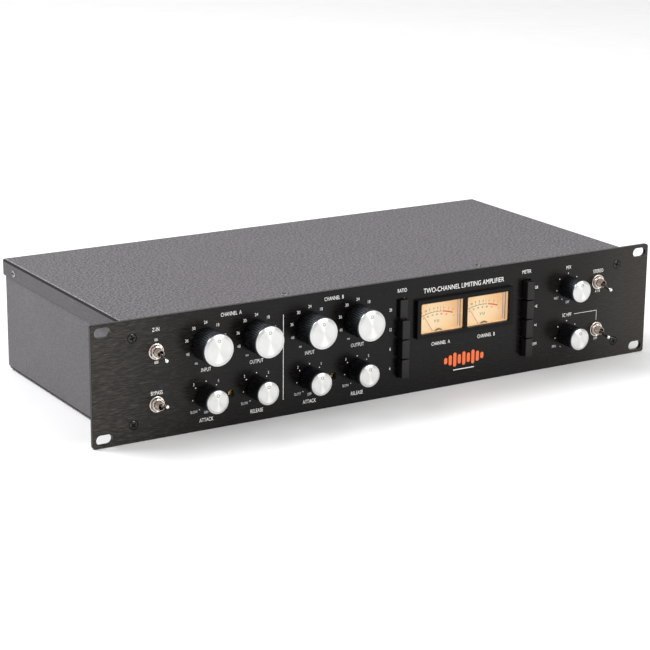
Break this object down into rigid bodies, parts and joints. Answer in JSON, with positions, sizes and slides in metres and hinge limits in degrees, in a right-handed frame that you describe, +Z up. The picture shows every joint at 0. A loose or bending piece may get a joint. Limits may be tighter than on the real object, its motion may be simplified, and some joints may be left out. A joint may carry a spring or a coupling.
{
  "type": "rack compressor",
  "caption": "Two-channel limiting amplifier in a two-unit rack case, with knobs, push-button banks, toggles and two needle meters.",
  "frame": {"origin": "centre of the four rack slots, on the rear face of the front panel", "axes": "+X to the right seen from the front, +Y to the rear, +Z up"},
  "size_m": [0.4826, 0.2282, 0.0882],
  "materials": {
    "panel_black": "black anodised, fine horizontal brushing",
    "case_grey": "fine-textured dark grey powder coat",
    "knob_black": "glossy ribbed moulding",
    "spun_aluminium": "spun face with a bright bevel",
    "button_black": "smooth matt moulding",
    "chrome": "polished",
    "nickel": "nickel plated",
    "needle_red": "thin painted pointer",
    "brass": "plain turned",
    "bezel_black": "matt moulding",
    "lens_clear": "clear",
    "dial_amber": "translucent dial lit from behind",
    "meter_case_clear": "smoky translucent moulding",
    "magnet_iron": "plated",
    "pot_steel": "plated can",
    "switch_black": "moulded",
    "trimmer_blue": "moulded",
    "circuit_board": "green solder mask",
    "component_black": "moulded and sleeved",
    "toroid_wrap": "amber tape over windings",
    "transformer_can": "drawn can",
    "connector_black": "die-cast and moulded, black",
    "screw_black": "black oxide, cross head"
  },
  "bodies": {
    "chassis": {"audio_transformers": "transformer_can", "board_components": "component_black", "button_switch_banks": "switch_black", "case_screws": "screw_black", "chassis": "case_grey", "control_boards": "circuit_board", "front_panel": "panel_black", "jack_sockets": "connector_black", "main_board": "circuit_board", "mains_inlet": "connector_black", "meter_bezel": "bezel_black", "meter_cases": "meter_case_clear", "meter_dials": "dial_amber", "meter_lenses": "lens_clear", "meter_movements": "magnet_iron", "panel_screws": "screw_black", "pot_nuts": "nickel", "potentiometers": "pot_steel", "toggle_nuts": "nickel", "toggle_switches": "nickel", "top_cover": "case_grey", "toroidal_transformer": "toroid_wrap", "trimmers": "trimmer_blue", "xlr_sockets": "connector_black"},
    "input_a_control": {"input_a_knob": "knob_black", "input_a_cap": "spun_aluminium"},
    "output_a_control": {"output_a_knob": "knob_black", "output_a_cap": "spun_aluminium"},
    "attack_a_control": {"attack_a_knob": "knob_black", "attack_a_cap": "spun_aluminium"},
    "release_a_control": {"release_a_knob": "knob_black", "release_a_cap": "spun_aluminium"},
    "input_b_control": {"input_b_knob": "knob_black", "input_b_cap": "spun_aluminium"},
    "output_b_control": {"output_b_knob": "knob_black", "output_b_cap": "spun_aluminium"},
    "attack_b_control": {"attack_b_knob": "knob_black", "attack_b_cap": "spun_aluminium"},
    "release_b_control": {"release_b_knob": "knob_black", "release_b_cap": "spun_aluminium"},
    "mix_control": {"mix_knob": "knob_black", "mix_cap": "spun_aluminium"},
    "filter_control": {"filter_knob": "knob_black", "filter_cap": "spun_aluminium"},
    "impedance_toggle": {"impedance_lever": "chrome"},
    "bypass_toggle": {"bypass_lever": "chrome"},
    "stereo_toggle": {"stereo_lever": "chrome"},
    "sidechain_toggle": {"sidechain_lever": "chrome"},
    "ratio_20_switch": {"ratio_20_button": "button_black"},
    "ratio_12_switch": {"ratio_12_button": "button_black"},
    "ratio_8_switch": {"ratio_8_button": "button_black"},
    "ratio_4_switch": {"ratio_4_button": "button_black"},
    "meter_gr_switch": {"meter_gr_button": "button_black"},
    "meter_plus8_switch": {"meter_plus8_button": "button_black"},
    "meter_plus4_switch": {"meter_plus4_button": "button_black"},
    "meter_off_switch": {"meter_off_button": "button_black"},
    "needle_a_movement": {"needle_a": "needle_red"},
    "needle_b_movement": {"needle_b": "needle_red"},
    "trim_a_adjuster": {"trim_a_screw": "brass"},
    "trim_b_adjuster": {"trim_b_screw": "brass"}
  },
  "joints": [
    {"name": "input_a_turn", "type": "hinge", "parent": "chassis", "child": "input_a_control", "pos_m": [-0.1536, -0.01, 0.0192], "axis": [0, 1, 0], "range_deg": [-150, 150]},
    {"name": "output_a_turn", "type": "hinge", "parent": "chassis", "child": "output_a_control", "pos_m": [-0.1131, -0.01, 0.0192], "axis": [0, 1, 0], "range_deg": [-150, 150]},
    {"name": "attack_a_turn", "type": "hinge", "parent": "chassis", "child": "attack_a_control", "pos_m": [-0.1536, -0.01, -0.0189], "axis": [0, 1, 0], "range_deg": [-150, 150]},
    {"name": "release_a_turn", "type": "hinge", "parent": "chassis", "child": "release_a_control", "pos_m": [-0.1131, -0.01, -0.0189], "axis": [0, 1, 0], "range_deg": [-150, 150]},
    {"name": "input_b_turn", "type": "hinge", "parent": "chassis", "child": "input_b_control", "pos_m": [-0.0693, -0.01, 0.0192], "axis": [0, 1, 0], "range_deg": [-150, 150]},
    {"name": "output_b_turn", "type": "hinge", "parent": "chassis", "child": "output_b_control", "pos_m": [-0.0288, -0.01, 0.0192], "axis": [0, 1, 0], "range_deg": [-150, 150]},
    {"name": "attack_b_turn", "type": "hinge", "parent": "chassis", "child": "attack_b_control", "pos_m": [-0.0693, -0.01, -0.0189], "axis": [0, 1, 0], "range_deg": [-150, 150]},
    {"name": "release_b_turn", "type": "hinge", "parent": "chassis", "child": "release_b_control", "pos_m": [-0.0288, -0.01, -0.0189], "axis": [0, 1, 0], "range_deg": [-150, 150]},
    {"name": "mix_turn", "type": "hinge", "parent": "chassis", "child": "mix_control", "pos_m": [0.163, -0.01, 0.0192], "axis": [0, 1, 0], "range_deg": [-150, 150]},
    {"name": "filter_turn", "type": "hinge", "parent": "chassis", "child": "filter_control", "pos_m": [0.163, -0.01, -0.0189], "axis": [0, 1, 0], "range_deg": [-150, 150]},
    {"name": "impedance_flip", "type": "hinge", "parent": "chassis", "child": "impedance_toggle", "pos_m": [-0.1922, -0.007, 0.0192], "axis": [1, 0, 0], "range_deg": [-25, 0]},
    {"name": "bypass_flip", "type": "hinge", "parent": "chassis", "child": "bypass_toggle", "pos_m": [-0.1922, -0.007, -0.0189], "axis": [1, 0, 0], "range_deg": [0, 25]},
    {"name": "stereo_flip", "type": "hinge", "parent": "chassis", "child": "stereo_toggle", "pos_m": [0.1922, -0.007, 0.0192], "axis": [1, 0, 0], "range_deg": [-25, 0]},
    {"name": "sidechain_flip", "type": "hinge", "parent": "chassis", "child": "sidechain_toggle", "pos_m": [0.1922, -0.007, -0.0189], "axis": [1, 0, 0], "range_deg": [-25, 0]},
    {"name": "ratio_20_press", "type": "slide", "parent": "chassis", "child": "ratio_20_switch", "axis": [0, 1, 0], "range_m": [-0.0034, 0]},
    {"name": "ratio_12_press", "type": "slide", "parent": "chassis", "child": "ratio_12_switch", "axis": [0, 1, 0], "range_m": [0, 0.0034]},
    {"name": "ratio_8_press", "type": "slide", "parent": "chassis", "child": "ratio_8_switch", "axis": [0, 1, 0], "range_m": [0, 0.0034]},
    {"name": "ratio_4_press", "type": "slide", "parent": "chassis", "child": "ratio_4_switch", "axis": [0, 1, 0], "range_m": [0, 0.0034]},
    {"name": "meter_gr_press", "type": "slide", "parent": "chassis", "child": "meter_gr_switch", "axis": [0, 1, 0], "range_m": [0, 0.0034]},
    {"name": "meter_plus8_press", "type": "slide", "parent": "chassis", "child": "meter_plus8_switch", "axis": [0, 1, 0], "range_m": [0, 0.0034]},
    {"name": "meter_plus4_press", "type": "slide", "parent": "chassis", "child": "meter_plus4_switch", "axis": [0, 1, 0], "range_m": [0, 0.0034]},
    {"name": "meter_off_press", "type": "slide", "parent": "chassis", "child": "meter_off_switch", "axis": [0, 1, 0], "range_m": [0, 0.0034]},
    {"name": "needle_a_swing", "type": "hinge", "parent": "chassis", "child": "needle_a_movement", "pos_m": [0.04425, 0.0018, -0.0065], "axis": [0, 1, 0], "range_deg": [0, 66], "stiffness_Nm_per_rad": 0.00002, "springref_deg": -5.73},
    {"name": "needle_b_swing", "type": "hinge", "parent": "chassis", "child": "needle_b_movement", "pos_m": [0.08585, 0.0018, -0.0065], "axis": [0, 1, 0], "range_deg": [0, 66], "stiffness_Nm_per_rad": 0.00002, "springref_deg": -5.73},
    {"name": "trim_a_turn", "type": "hinge", "parent": "chassis", "child": "trim_a_adjuster", "pos_m": [-0.1334, 0.004, -0.0205], "axis": [0, 1, 0], "range_deg": [-130, 130]},
    {"name": "trim_b_turn", "type": "hinge", "parent": "chassis", "child": "trim_b_adjuster", "pos_m": [-0.0489, 0.004, -0.0205], "axis": [0, 1, 0], "range_deg": [-130, 130]}
  ]
}
